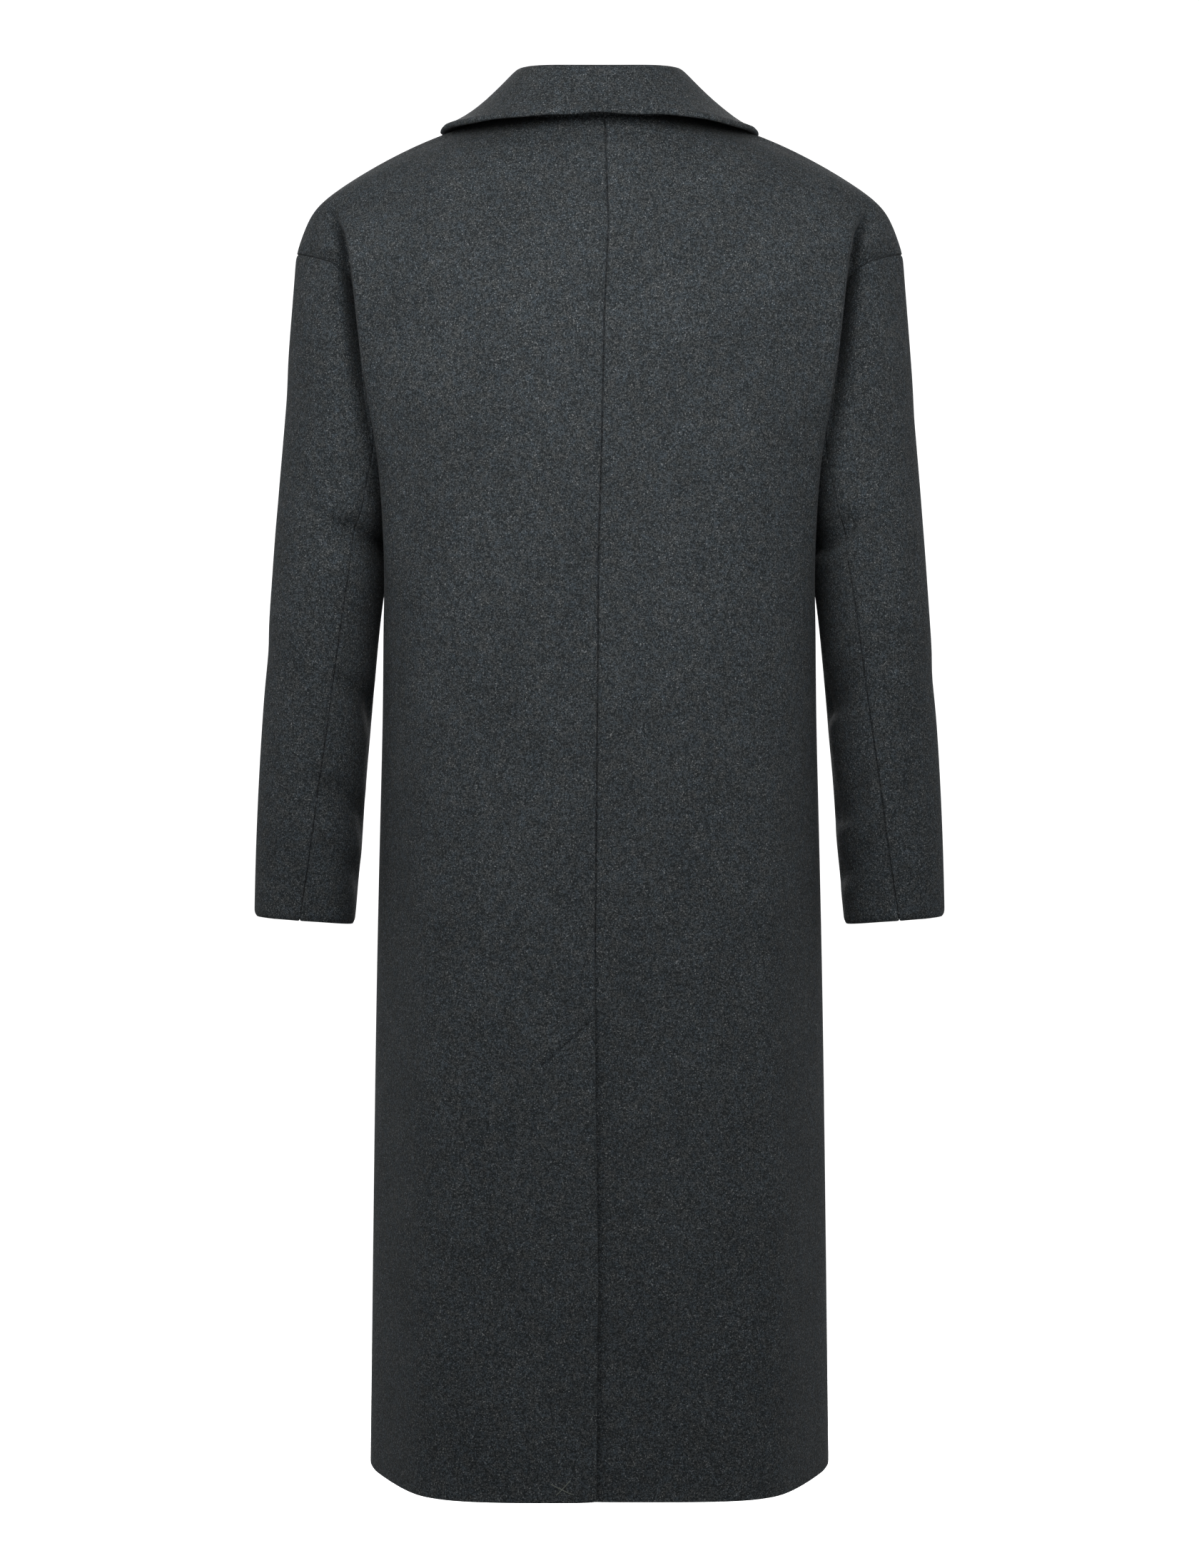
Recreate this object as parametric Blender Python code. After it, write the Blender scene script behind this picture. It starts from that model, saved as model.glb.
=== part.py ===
"""Long single-breasted wool overcoat, filled out as if worn, with no wearer inside.

Eleven cut and sewn pieces of wool cloth and three front buttons, each its own object.
The front faces -Y, the wearer's left is +X, and the origin is the middle of the neck
opening, just below the top of the shoulder seams. Sizes are in millimetres here, and the
meshes are made in metres.
"""
from collections import namedtuple

import bmesh
import bpy
import numpy as np
from mathutils import Matrix, Vector

MM = 0.001
OBJECT_NAME = "long_wool_overcoat"

# Cloth and seams
WALL = 2.6                      # heavy wool cloth, sewn and pressed
COLLAR_WALL = 3.6               # two layers of the cloth with canvas between them
LAPEL_WALL = 3.2
SEAM_GAP = 0.3                  # between the edges of two sewn pieces
LAPEL_LIFT = 0.6                # from a front's face to the lapel that lies on it
MITRE_FROM = 0.3                # cosine between two faces from which their sewn rims share a mitre
MITRE_EASE = 0.4                # further cosine over which they come to share it fully
SHARP_ANGLE = 0.6               # radians, from which an edge is shaded sharp
WOOL_COLOUR = (0.032, 0.035, 0.037)
WOOL_ROUGHNESS = 0.95
HORN_COLOUR = (0.012, 0.010, 0.009)
HORN_ROUGHNESS = 0.35

# Back vent and front overlap
VENT_UNDERLAP = 48.0            # how far the right back runs on under the left one
VENT_TOP = -783.0
VENT_SLANT = 70.0               # height over which the underlap reaches its full width
VENT_RECESS = 4.8
VENT_EASE = 90.0                # height over which the recess begins above the vent
OVERLAP_RECESS = 5.8            # of the right front, under the left one
OVERLAP_TOP = -290.0
OVERLAP_EASE = 80.0
RECESS_REACH = 0.55             # share of a panel's width over which a recess runs out

# Cuffs and sleeve seams
CUFF_LEVEL = -701.5
CUFF_SLANT = 5.0                # the cuff's inner side hangs this much lower
SLEEVE_BLEND = 90.0             # length below the armhole where the sleeve becomes round
SEAM_TURN = 0.28                # share of the sleeve where its lines settle between the seams
BACK_SEAM_LEVELS = (-200.0, -307.0, -450.0, -600.0, CUFF_LEVEL)
BACK_SEAM_ANGLES = (122.0, 119.0, 112.5, 101.0, 89.0)
FRONT_SEAM_ANGLE = 236.0

# Collar
ROLL_RADIUS = 3.2               # inside the collar's fold
ROLL_DROP = 0.7                 # of that radius, from the fold's top to its sides
FALL_BULGE = -0.10              # of the fall's length, negative where it is hollow

# Buttons
BUTTON_RADIUS = 14.0
BUTTON_HEIGHT = 4.0
BUTTON_RIM = 3.0
BUTTON_DISH = 0.9
BUTTON_EDGE = 0.8
BUTTON_SIDES = 24
BUTTON_LIFT = 0.5               # from the front's face to the button's back
BUTTON_LEVELS = {"button_top": -432.0, "button_middle": -552.0, "button_bottom": -672.0}

# The six points of a section, from the middle of the panel to its sewn side
KNOTS = np.array([0.0, 0.30, 0.55, 0.72, 0.84, 1.0])
LEVEL_SWEEP = 2.5               # power by which a section sweeps from its middle's level to its edge's
FRONT_FULLNESS = 0.95           # depth of the front's sides as a share of the back's
SIDE_OUT_SHARES = (1.0, 0.48, 0.18)
MIDDLE_SLOPE = np.array([1.0, 0.3, 1.0])        # of the first stretch's slope, nearly flat at the middle
SEWN_SLOPE = np.array([0.0, 1.25, 0.0])         # of the last stretch's slope, straight into a sewn edge

# Sections of one half of the back, from the hem up to the neck. Each point is (x, y).
# The crest and trough form the fold that hangs from the shoulder over the back of the
# sleeve. A section is sewn where its side edge lies in the side or shoulder seam, and
# not sewn there where its edge lies on the armhole.
Section = namedtuple("Section", "middle_level edge_level depth blade corner crest trough edge sewn")
BACK = [
    Section(-1184, -1184, 165.0, (100, 162), (147, 142), (169, 105), (187, 60), (202.5, 0), 1),
    Section(-712, -712, 142.0, (96, 139), (143, 119), (165, 87), (182, 50), (196, 0), 1),
    Section(-435, -435, 131.5, (95, 129), (145, 110), (174, 82), (188.3, 46), (187, 0), 1),
    Section(-365, -365, 129.0, (96, 127), (148, 110), (180, 82), (186, 55), (176, 0), 1),
    Section(-305, -305, 127.5, (97, 126), (150, 112), (186, 84), (188, 60), (165, 0), 1),
    Section(-250, -250, 126.0, (98, 125), (154, 113), (195, 90), (196, 70), (178, 36), 0),
    Section(-200, -200, 124.0, (99, 124), (158, 113), (201, 92), (203, 76), (195, 55), 0),
    Section(-160, -155, 120.0, (100, 120), (162, 110), (208, 86), (210, 72), (208, 60), 0),
    Section(-135, -139, 116.0, (100, 115), (165, 104), (212, 80), (217, 66), (222, 57), 0),
    Section(-116, -128, 111.5, (100, 110), (168, 96), (216, 75), (231, 60), (244, 43), 0),
    Section(-100, -120, 107.0, (100, 105), (170, 89), (222, 66), (247, 44), (264, 20), 0),
    Section(-84, -118, 102.0, (100, 98), (172, 82), (227, 57), (253, 34), (268, 0), 1),
    Section(-66, -89, 96.0, (98, 91), (168, 70), (224, 46), (246, 25), (258, 0), 1),
    Section(-52, -63, 91.0, (92, 84), (155, 60), (200, 38), (220, 21), (233.5, 0), 1),
    Section(-27, -18.5, 80.5, (68, 73), (110, 50), (135, 29), (148, 14), (157, 0), 1),
    Section(-8, 9, 72.0, (34, 66), (56, 48), (68, 28), (74, 13), (76, 0), 1),
]
UNDERARM = 4                    # the section where the side seam ends in the armhole
SHOULDER_TIP = 11               # the section where the shoulder seam ends in the armhole
SLEEVE_SEAM_AT = 5.5            # where the sleeve's seams start on the armhole
ROWS_BETWEEN = [8, 5, 2, 2, 2, 2, 2, 1, 2, 2, 2, 1, 2, 2, 2]

# The front's inner edge at the same sections: straight up to the break of the lapel,
# then along its roll line to the neck. The chest point takes the blade point's place, and
# near the neck the points beside it stand further out than the back's.
FrontEdge = namedtuple("FrontEdge", "inner_x inner_y inner_level chest side_out", defaults=[0.0])
FRONT = [
    FrontEdge(-35, 150, -1184, (88, 146)),
    FrontEdge(-35, 142, -712, (85, 138)),
    FrontEdge(-35, 137, -435, (84, 133)),
    FrontEdge(-24, 135, -372, (85, 131)),
    FrontEdge(-8, 133, -322, (88, 129)),
    FrontEdge(6, 131, -278, (92, 125)),
    FrontEdge(20, 128, -235, (97, 120)),
    FrontEdge(31, 125, -200, (101, 115)),
    FrontEdge(38, 122, -178, (104, 112)),
    FrontEdge(44, 119, -160, (106, 109)),
    FrontEdge(49, 116, -145, (107, 106)),
    FrontEdge(53, 113, -132, (106, 103)),
    FrontEdge(57, 110, -121, (104, 98)),
    FrontEdge(59, 108, -114, (98, 94)),
    FrontEdge(61, 106, -109, (86, 87), 5.0),
    FrontEdge(63, 104, -104, (72, 78), 23.0),
]

# The round of the sleeve below the armhole
Round = namedtuple("Round", "level outer inner half_depth middle_y")
SLEEVE = [
    Round(-118, 268.0, 150.0, 62.0, 0.0),
    Round(-200, 274.0, 156.0, 72.0, 0.0),
    Round(-305, 282.0, 170.0, 73.0, 0.0),
    Round(-435, 291.5, 192.0, 66.0, -3.0),
    Round(-535, 298.8, 201.0, 60.0, -8.0),
    Round(-611, 303.8, 208.7, 56.0, -13.0),
    Round(-710, 307.3, 219.3, 50.0, -20.0),
]

# Top of the collar's roll and lower edge of its fall, by the share of the neckline from
# the middle of the back to the front end
CollarStation = namedtuple("CollarStation", "share roll edge")
COLLAR = [
    CollarStation(0.00, (0, 80, 33), (0, 94, -11)),
    CollarStation(0.15, (40, 71, 35), (61, 91, -15)),
    CollarStation(0.27, (62, 46, 39), (97, 72, -16)),
    CollarStation(0.42, (71, 8, 43), (138, 0, -10)),
    CollarStation(0.60, (68, -40, 28), (136, -52, -34)),
    CollarStation(0.82, (60, -90, -32), (112, -101, -90)),
    CollarStation(1.00, (59, -112, -97), (96, -113, -121)),
]

# Outline of a lapel: level on its roll line, and its outer edge there
LapelRow = namedtuple("LapelRow", "inner_level outer_x outer_level")
LAPEL = [
    LapelRow(-402, -24, -396),
    LapelRow(-330, 35, -318),
    LapelRow(-260, 80, -243),
    LapelRow(-190, 105, -177),
    LapelRow(-129, 114, -136),
]
LAPEL_RIGHT_BOTTOM = -340.0     # the right lapel goes under the left front here
LAPEL_CLEARANCE = 2.0           # from the left front's edge to the right lapel

# Where points are taken across and along the pieces
ACROSS = np.array([0.0, 0.10, 0.20, 0.30, 0.42, 0.55, 0.64, 0.72, 0.78, 0.84, 0.92, 1.0])
DOWN_SLEEVE = np.array([0.0, 0.03, 0.07, 0.12, 0.18, 0.26, 0.35, 0.45, 0.56, 0.67, 0.78, 0.89, 1.0])
COLLAR_PATH = np.array([0.0, 0.8, 1.6, 2.3, 3.0, 3.7, 4.4, 5.2, 6.0])
LAPEL_ROWS = 10
LAPEL_COLUMNS = 6
SLOPE_STEP = 0.001              # step for slopes, as a share of one section

# Search for the place of a point on the front, as shares across and sections up
SEARCH_START = np.array([0.2, 4.0])
SEARCH_STRIDE = np.array([0.1, 0.8])
SEARCH_STEPS = 40
SEARCH_MISS = 1e-4


def smooth_step(share):
    """Ease from 0 to 1."""
    share = np.clip(share, 0.0, 1.0)
    return share * share * (3.0 - 2.0 * share)


def unit(vectors):
    """Vectors of length one."""
    return vectors / np.linalg.norm(vectors, axis=-1, keepdims=True)


def hermite(start, end, start_slope, end_slope, share):
    """Cubic from start to end with the given slopes, for one stretch."""
    square = share * share
    cube = square * share
    return (start * (2.0 * cube - 3.0 * square + 1.0) + start_slope * (cube - 2.0 * square + share)
            + end * (3.0 * square - 2.0 * cube) + end_slope * (cube - square))


def stretch_of(keys, places):
    """The stretch between keys that each place lies in."""
    return np.clip(np.searchsorted(keys, places, side="right") - 1, 0, len(keys) - 2)


def eased(keys, values, places):
    """Smooth curve through the values that never overshoots them."""
    keys = np.asarray(keys, dtype=float)
    places = np.asarray(places, dtype=float)
    values = np.asarray(values, dtype=float)
    shape = (-1,) + (1,) * (values.ndim - 1)
    width = np.diff(keys).reshape(shape)
    slope = np.diff(values, axis=0) / width
    same_way = slope[:-1] * slope[1:] > 0.0
    total = np.where(same_way, slope[:-1] + slope[1:], 1.0)
    inside = np.where(same_way, 2.0 * slope[:-1] * slope[1:] / total, 0.0)
    slopes = np.concatenate([slope[:1], inside, slope[-1:]])
    at = stretch_of(keys, places)
    wide = width[at]
    share = ((places - keys[at]).reshape(shape)) / wide
    return hermite(values[at], values[at + 1], slopes[at] * wide, slopes[at + 1] * wide, share)


def section_levels(section):
    """Level of each point of a section."""
    return section.middle_level + (section.edge_level - section.middle_level) * KNOTS ** LEVEL_SWEEP


def back_controls():
    """Six points for each section of the back."""
    rows = []
    for section in BACK:
        levels = section_levels(section)
        middle = (0.0, section.depth)
        flat = [middle, section.blade, section.corner, section.crest, section.trough, section.edge]
        rows.append(np.column_stack([np.array(flat, dtype=float), levels]))
    return np.array(rows)


def front_controls():
    """Six points for each section of the front, its sides taken from the back's."""
    rows = []
    for section, front in zip(BACK, FRONT):
        levels = section_levels(section)
        levels[0] = front.inner_level
        levels[1] = (levels[0] + levels[2]) / 2.0
        points = (section.corner, section.crest, section.trough)
        sides = [(x + front.side_out * share, y * FRONT_FULLNESS)
                 for (x, y), share in zip(points, SIDE_OUT_SHARES)]
        flat = np.array([(front.inner_x, front.inner_y), front.chest, *sides, section.edge], dtype=float)
        flat[:, 1] *= -1.0
        rows.append(np.column_stack([flat, levels]))
    return np.array(rows)


class Panel:
    """The outer face of one half of the back or front, by place across and up."""

    def __init__(self, controls, outward):
        self.controls = controls
        self.outward = outward
        self.sewn = np.array([section.sewn for section in BACK], dtype=float)

    def points(self, across, up):
        """Points on the face, a row for each place up and a column for each place across."""
        keys = np.arange(len(BACK))
        rows = eased(keys, self.controls, up)
        sewn = eased(keys, self.sewn, up)[:, None]
        width = np.diff(KNOTS)[None, :, None]
        slope = np.diff(rows, axis=1) / width
        both = width[:, :-1] + width[:, 1:]
        inside = (slope[:, :-1] * width[:, 1:] + slope[:, 1:] * width[:, :-1]) / both
        start = slope[:, 0] * MIDDLE_SLOPE
        end = slope[:, -1] * (1.0 - sewn) + slope[:, -1] * SEWN_SLOPE * sewn
        slopes = np.concatenate([start[:, None], inside, end[:, None]], axis=1)
        at = stretch_of(KNOTS, across)
        wide = width[0, at]
        share = (across - KNOTS[at])[:, None] / wide
        return hermite(rows[:, at], rows[:, at + 1], slopes[:, at] * wide, slopes[:, at + 1] * wide, share)

    def face(self, across, up):
        """Points and outward normals."""
        last = len(BACK) - 1
        ahead = np.minimum(across + SLOPE_STEP, 1.0)
        behind = np.maximum(across - SLOPE_STEP, 0.0)
        above = np.minimum(up + SLOPE_STEP, last)
        below = np.maximum(up - SLOPE_STEP, 0.0)
        along = self.points(ahead, up) - self.points(behind, up)
        rising = self.points(across, above) - self.points(across, below)
        normals = unit(np.cross(rising, along) * self.outward)
        return self.points(across, up), normals


def row_places():
    """Places up the panels, more of them where the sections are far apart."""
    places = [np.linspace(row, row + 1, count, endpoint=False) for row, count in enumerate(ROWS_BETWEEN)]
    return np.concatenate([*places, [float(len(BACK) - 1)]])


def recess_share(across):
    """How much of a recess is left at a place across the panel."""
    return np.clip(1.0 - across / RECESS_REACH, 0.0, 1.0)


def make_shell(name, outer, inner, material, collection):
    """Closed wall between an outer and an inner grid of points."""
    rows, columns = outer.shape[:2]
    cloth = bmesh.new()
    place = cloth.verts.layers.int.new("place")
    bmesh.ops.create_grid(cloth, x_segments=columns - 1, y_segments=rows - 1, size=1.0)
    for index, vertex in enumerate(cloth.verts):
        vertex[place] = index
    made = bmesh.ops.extrude_face_region(cloth, geom=cloth.faces[:], use_keep_orig=True)
    lifted = {item for item in made["geom"] if isinstance(item, bmesh.types.BMVert)}
    outer_points = outer.reshape(-1, 3) * MM
    inner_points = inner.reshape(-1, 3) * MM
    for vertex in cloth.verts:
        source = outer_points if vertex in lifted else inner_points
        vertex.co = Vector(source[vertex[place]])
    bmesh.ops.recalc_face_normals(cloth, faces=cloth.faces[:])
    return add_object(name, cloth, material, collection)


def add_object(name, shape, material, collection):
    """Object from a finished shape, shaded smooth but for its sharp rims."""
    mesh = bpy.data.meshes.new(name)
    shape.to_mesh(mesh)
    shape.free()
    mesh.materials.append(material)
    mesh.shade_smooth()
    mesh.set_sharp_from_angle(angle=SHARP_ANGLE)
    made = bpy.data.objects.new(name, mesh)
    collection.objects.link(made)
    return made


def mirrored(points):
    """The same points on the wearer's right."""
    return points * np.array([-1.0, 1.0, 1.0])


def back_half(panel, up):
    """Outer points and normals of the left back, just clear of the side and middle seams."""
    outer, normals = panel.face(ACROSS, up)
    normals[:, 0, 0] = 0.0
    normals = unit(normals)
    outer[:, :, 1] += SEAM_GAP / 2.0
    outer[:, 0, 0] = SEAM_GAP / 2.0
    return outer, normals


def front_half(panel, up):
    """Outer points and normals of the left front, just clear of the side seam."""
    outer, normals = panel.face(ACROSS, up)
    outer[:, :, 1] -= SEAM_GAP / 2.0
    return outer, normals


def vent_underlap(points):
    """Right back, run on past the middle and set back under the left one below the vent's top."""
    levels = points[:, :, 2]
    wide = VENT_UNDERLAP * smooth_step((VENT_TOP - levels) / VENT_SLANT)
    deep = VENT_RECESS * smooth_step((VENT_TOP + VENT_EASE - levels) / VENT_EASE)
    near_middle = np.clip(1.0 - ACROSS / KNOTS[1], 0.0, 1.0) ** 2
    moved = points.copy()
    moved[:, :, 0] -= wide * near_middle[None, :]
    moved[:, :, 1] -= deep * recess_share(ACROSS)[None, :]
    return moved


def front_recess(across, levels):
    """Depth by which the right front is set back under the left one."""
    below_crossing = smooth_step((OVERLAP_TOP + OVERLAP_EASE - levels) / OVERLAP_EASE)
    return OVERLAP_RECESS * recess_share(across) * below_crossing


def front_underlap(points):
    """Right front, set back under the left one below the crossing of the lapels."""
    moved = points.copy()
    moved[:, :, 1] += front_recess(ACROSS[None, :], points[:, :, 2])
    return moved


def sleeve_round(angles, levels):
    """Points of the sleeve's round at given angles from its outer side towards the back."""
    table = np.array(SLEEVE, dtype=float)[::-1]
    outer, inner, half_depth, middle_y = eased(table[:, 0], table[:, 1:], levels).T
    x = (outer + inner) / 2.0 + (outer - inner) / 2.0 * np.cos(angles)
    y = middle_y + half_depth * np.sin(angles)
    return np.column_stack([x, y, levels])


def seam_step(edge, panel_normals, piece_normals, away):
    """Edge of a piece sewn to a panel's edge: one seam gap off it, in the middle of their angle."""
    beside = np.sum(piece_normals * away, axis=1)
    facing = np.sum(piece_normals * panel_normals, axis=1)
    turn = np.arctan2(-beside, facing)
    turn = np.where(turn < -np.pi / 2.0, turn + 2.0 * np.pi, turn)
    step = away * np.cos(turn / 2.0)[:, None] + panel_normals * np.sin(turn / 2.0)[:, None]
    return edge + step * SEAM_GAP


def shared_normals(own, other):
    """Normals turned to the middle of two faces where these nearly run on into each other."""
    facing = np.sum(own * other, axis=1)
    weight = smooth_step((facing - MITRE_FROM) / MITRE_EASE)[:, None]
    return unit(own * (1.0 - weight) + unit(own + other) * weight)


def armhole_loop(back, front, up):
    """The left armhole's edge points and panel normals: underarm, up the back, tip, down the front."""
    picked = np.flatnonzero((up >= UNDERARM) & (up <= SHOULDER_TIP))
    back_edge, front_edge = back[0][picked, -1], front[0][picked, -1]
    back_normals, front_normals = back[1][picked, -1], front[1][picked, -1]
    edge = np.concatenate([back_edge, front_edge[-2:0:-1]])
    normals = np.concatenate([back_normals, front_normals[-2:0:-1]])
    tip = len(picked) - 1
    edge[0] = (back_edge[0] + front_edge[0]) / 2.0
    edge[tip] = (back_edge[-1] + front_edge[-1]) / 2.0
    tangents = unit(np.roll(edge, -1, axis=0) - np.roll(edge, 1, axis=0))
    away = unit(np.cross(normals, tangents))
    seam = int(np.flatnonzero(np.isclose(up[picked], SLEEVE_SEAM_AT))[0])
    return edge, normals, away, seam


def sleeve_angles(count, seam, start, levels, share):
    """Angles of the sleeve's lines: from the armhole's own to evenly spread between its two seams."""
    back_seam = np.radians(eased(BACK_SEAM_LEVELS[::-1], BACK_SEAM_ANGLES[::-1], np.clip(
        levels, BACK_SEAM_LEVELS[-1], BACK_SEAM_LEVELS[0])))
    front_seam = np.radians(FRONT_SEAM_ANGLE)
    lines = np.arange(count)
    top_lines = count - 2 * seam
    under_share = np.where(lines <= seam, lines + seam, lines - (count - seam)) / (2.0 * seam)
    under = front_seam + (back_seam - front_seam) * under_share
    over_share = (lines - seam) / top_lines
    over = back_seam + (front_seam - 2.0 * np.pi - back_seam) * over_share
    on_top = (lines >= seam) & (lines <= count - seam)
    spread = np.where(on_top, over, under)
    spread = np.where(lines > count - seam, spread - 2.0 * np.pi, spread)
    weight = smooth_step(share / SEAM_TURN)
    return start * (1.0 - weight) + spread * weight


def sleeve_grid(loop):
    """Outer points and normals of the whole left sleeve, closed round, from armhole to cuff."""
    edge, panel_normals, away, seam = loop
    count = len(edge)
    table = np.array(SLEEVE, dtype=float)[::-1]
    at_edge = eased(table[:, 0], table[:, 1:], edge[:, 2])
    middle = (at_edge[:, 0] + at_edge[:, 1]) / 2.0
    half = (at_edge[:, 0] - at_edge[:, 1]) / 2.0
    start = np.arctan2((edge[:, 1] - at_edge[:, 3]) / at_edge[:, 2], (edge[:, 0] - middle) / half)
    start[0] = np.pi
    start = np.unwrap(start)
    offset = edge - sleeve_round(start, edge[:, 2])
    lowest = CUFF_LEVEL - CUFF_SLANT * (1.0 - np.cos(start)) / 2.0
    rows = []
    for share in DOWN_SLEEVE:
        levels = edge[:, 2] + (lowest - edge[:, 2]) * share
        fade = 1.0 - smooth_step((edge[:, 2] - levels) / SLEEVE_BLEND)
        angles = sleeve_angles(count, seam, start, levels, share)
        rows.append(sleeve_round(angles, levels) + offset * fade[:, None])
    outer = np.array(rows)
    around = np.roll(outer, -1, axis=1) - np.roll(outer, 1, axis=1)
    down = np.gradient(outer, axis=0)
    normals = unit(np.cross(around, down))
    outer[0] = seam_step(edge, panel_normals, normals[0], away)
    panel_rim = shared_normals(panel_normals, normals[0])
    normals[0] = shared_normals(normals[0], panel_normals)
    return outer, normals, seam, panel_rim


def set_armhole_rims(back, front, up, panel_rim):
    """Turn the normals along the panels' armhole edges to those that the sleeve shares."""
    picked = np.flatnonzero((up >= UNDERARM) & (up <= SHOULDER_TIP))
    count = len(picked)
    back[1][picked, -1] = panel_rim[:count]
    front[1][picked[1:-1], -1] = panel_rim[count:][::-1]
    for corner, line in ((picked[0], 0), (picked[-1], count - 1)):
        front[1][corner, -1] = panel_rim[line]


def sleeve_piece(outer, normals, lines):
    """Outer and inner points of one sleeve piece, its two long edges half a seam gap in."""
    piece = outer[:, lines].copy()
    for edge, inward in ((0, 1), (-1, -2)):
        step = unit(piece[:, inward] - piece[:, edge])
        piece[:, edge] += step * SEAM_GAP / 2.0
    return piece, piece - normals[:, lines] * WALL


def neckline(back, front):
    """Left half of the neck edge with normals, from the middle of the back to the front end."""
    back_edge, back_normals = back[0][-1], back[1][-1]
    front_edge, front_normals = front[0][-1], front[1][-1]
    shoulder = (back_edge[-1] + front_edge[-1]) / 2.0
    edge = np.concatenate([back_edge[:-1], [shoulder], front_edge[-2::-1]])
    normals = np.concatenate([back_normals[:-1], back_normals[-1:], front_normals[-2::-1]])
    edge[0, 0] = 0.0
    return edge, normals


def collar_path(neck, roll, edge):
    """Hidden side of the collar's cloth at one place: up the stand, over the roll, down the fall."""
    outwards = edge - roll
    outwards[2] = 0.0
    outwards = unit(outwards)
    lift = np.array([0.0, 0.0, 1.0])
    top = roll - lift * COLLAR_WALL
    stand_top = top - outwards * ROLL_RADIUS - lift * ROLL_RADIUS * ROLL_DROP
    fall_top = top + outwards * ROLL_RADIUS - lift * ROLL_RADIUS * ROLL_DROP
    stand_middle = (neck + stand_top) / 2.0
    span = edge - fall_top
    fall_middle = fall_top + span / 2.0 + lift * FALL_BULGE * np.linalg.norm(span)
    controls = np.array([neck, stand_middle, stand_top, top, fall_top, fall_middle, edge])
    keys = np.arange(len(controls))
    slopes = np.gradient(controls, axis=0)
    at = stretch_of(keys, COLLAR_PATH)
    share = (COLLAR_PATH - keys[at])[:, None]
    return hermite(controls[at], controls[at + 1], slopes[at], slopes[at + 1], share)


def make_collar(back, front, material, collection):
    """Collar, one wall of cloth that stands on the neck edge and folds over."""
    half_edge, half_normals = neckline(back, front)
    steps = np.linalg.norm(np.diff(half_edge, axis=0), axis=1)
    shares = np.concatenate([[0.0], np.cumsum(steps)]) / np.sum(steps)
    keys = [station.share for station in COLLAR]
    rolls = eased(keys, [station.roll for station in COLLAR], shares)
    edges = eased(keys, [station.edge for station in COLLAR], shares)
    left = np.array([collar_path(*place) for place in zip(half_edge, rolls, edges)])
    hidden = np.concatenate([mirrored(left[:0:-1]), left])
    neck_edge = np.concatenate([mirrored(half_edge[:0:-1]), half_edge])
    neck_normals = np.concatenate([mirrored(half_normals[:0:-1]), half_normals])
    around = np.gradient(hidden, axis=0)
    upwards = np.gradient(hidden, axis=1)
    normals = unit(np.cross(upwards, around))
    tangents = unit(np.gradient(neck_edge, axis=0))
    away = unit(np.cross(tangents, neck_normals))
    hidden[:, 0] = seam_step(neck_edge, neck_normals, normals[:, 0], away)
    normals[:, 0] = shared_normals(normals[:, 0], neck_normals)
    return make_shell("collar", hidden, hidden - normals * COLLAR_WALL, material, collection)


def place_on_front(panel, x, level):
    """Places across and up the left front whose point has this x and level."""
    place = SEARCH_START
    highest = np.array([1.0, len(BACK) - 1]) - SLOPE_STEP
    for _ in range(SEARCH_STEPS):
        here = panel.points(place[:1], place[1:])[0, 0]
        miss = np.array([x - here[0], level - here[2]])
        if np.max(np.abs(miss)) < SEARCH_MISS:
            break
        ahead = panel.points(place[:1] + SLOPE_STEP, place[1:])[0, 0]
        above = panel.points(place[:1], place[1:] + SLOPE_STEP)[0, 0]
        slopes = np.column_stack([ahead - here, above - here])[[0, 2]] / SLOPE_STEP
        step = np.linalg.solve(slopes, miss)
        place = np.clip(place + np.clip(step, -SEARCH_STRIDE, SEARCH_STRIDE), 0.0, highest)
    return place


def roll_line(level):
    """x of the left front's inner edge at a level."""
    table = np.array([(front.inner_level, front.inner_x) for front in FRONT], dtype=float)
    return float(eased(table[:, 0], table[:, 1:], np.array([level]))[0, 0])


def make_lapel(name, panel, on_right, material, collection):
    """Lapel, folded back along the roll line and lying on its front."""
    table = np.array(LAPEL, dtype=float)
    bottom = LAPEL_RIGHT_BOTTOM if on_right else table[0, 0]
    rows = []
    normals = []
    for level in np.linspace(bottom, table[-1, 0], LAPEL_ROWS):
        outer_x, outer_level = eased(table[:, 0], table[:, 1:], np.array([level]))[0]
        inner_x = roll_line(level)
        if on_right:
            inner_x = max(inner_x, LAPEL_CLEARANCE - inner_x)
        for share in np.linspace(0.0, 1.0, LAPEL_COLUMNS):
            x = inner_x + (outer_x - inner_x) * share
            place = place_on_front(panel, x, level + (outer_level - level) * share)
            point, normal = panel.face(place[:1], place[1:])
            point[0, 0, 1] -= SEAM_GAP / 2.0
            if on_right:
                point[0, 0, 1] += front_recess(place[0], point[0, 0, 2])
            rows.append(point[0, 0])
            normals.append(normal[0, 0])
    grid = np.array(rows).reshape(LAPEL_ROWS, LAPEL_COLUMNS, 3)
    lift = np.array(normals).reshape(LAPEL_ROWS, LAPEL_COLUMNS, 3)
    inner = grid + lift * LAPEL_LIFT
    outer = inner + lift * LAPEL_WALL
    if on_right:
        inner, outer = mirrored(inner), mirrored(outer)
    return make_shell(name, outer, inner, material, collection)


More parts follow.
